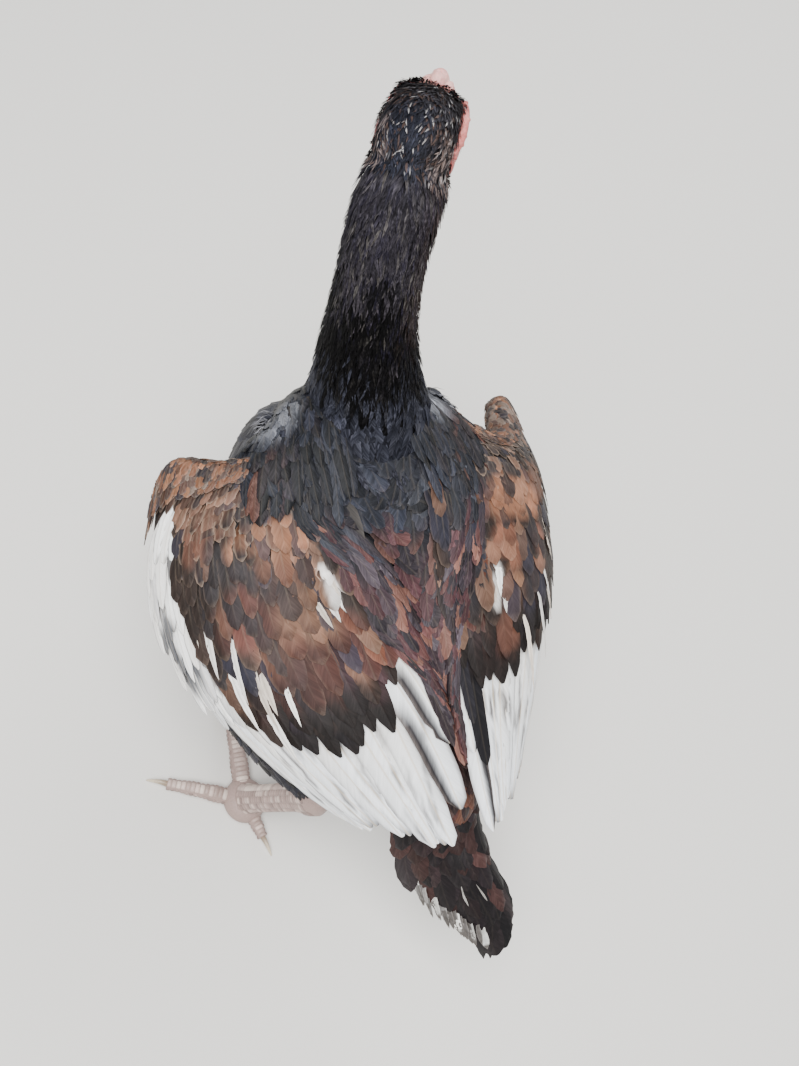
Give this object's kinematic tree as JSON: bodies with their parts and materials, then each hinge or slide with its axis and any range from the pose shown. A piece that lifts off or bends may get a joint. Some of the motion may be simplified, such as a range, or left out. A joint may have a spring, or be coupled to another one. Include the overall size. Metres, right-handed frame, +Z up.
{
  "type": "aseel chicken",
  "caption": "Life-size still model of a young aseel fowl striding with raised neck, head turned to its right and wings held off its body.",
  "frame": {"origin": "on the floor, below the middle of the bird's bounding box", "axes": "+Z up, the bird faces -Y, its own left is +X"},
  "size_m": [0.229, 0.3266, 0.3849],
  "materials": {
    "beak_horn": "horn, pale and slightly waxy",
    "claw_horn": "horn, pale, worn at the tips",
    "comb_skin": "bare fleshy skin, pale pink, pebbled",
    "bare_skin": "bare facial skin, pink-red, finely wrinkled",
    "eye": "polished, pale iris with a black pupil",
    "head_feather": "very short feathers, dark grey flecked with white",
    "neck_feather": "narrow hackle feathers, black with a blue sheen",
    "leg_scale": "horny scutes, greyish pink",
    "tail_feather": "feather vanes, brown-black with white edges",
    "body_feather": "soft body feathers, black and brown",
    "wing_feather": "feather vanes, chestnut and black coverts over white flight feathers"
  },
  "bodies": {
    "root": {"beak_lower": "beak_horn", "beak_upper": "beak_horn", "claw_left_hind": "claw_horn", "claw_left_inner": "claw_horn", "claw_left_middle": "claw_horn", "claw_left_outer": "claw_horn", "claw_right_hind": "claw_horn", "claw_right_inner": "claw_horn", "claw_right_middle": "claw_horn", "claw_right_outer": "claw_horn", "comb": "comb_skin", "earlobe_left": "bare_skin", "earlobe_right": "bare_skin", "eye_left": "eye", "eye_right": "eye", "head": "head_feather", "neck": "neck_feather", "shank_left": "leg_scale", "shank_right": "leg_scale", "tail": "tail_feather", "thigh_left": "body_feather", "thigh_right": "body_feather", "toe_left_hind": "leg_scale", "toe_left_inner": "leg_scale", "toe_left_middle": "leg_scale", "toe_left_outer": "leg_scale", "toe_right_hind": "leg_scale", "toe_right_inner": "leg_scale", "toe_right_middle": "leg_scale", "toe_right_outer": "leg_scale", "torso": "body_feather", "wattle_left": "bare_skin", "wattle_right": "bare_skin", "wing_left": "wing_feather", "wing_right": "wing_feather"}
  },
  "joints": []
}
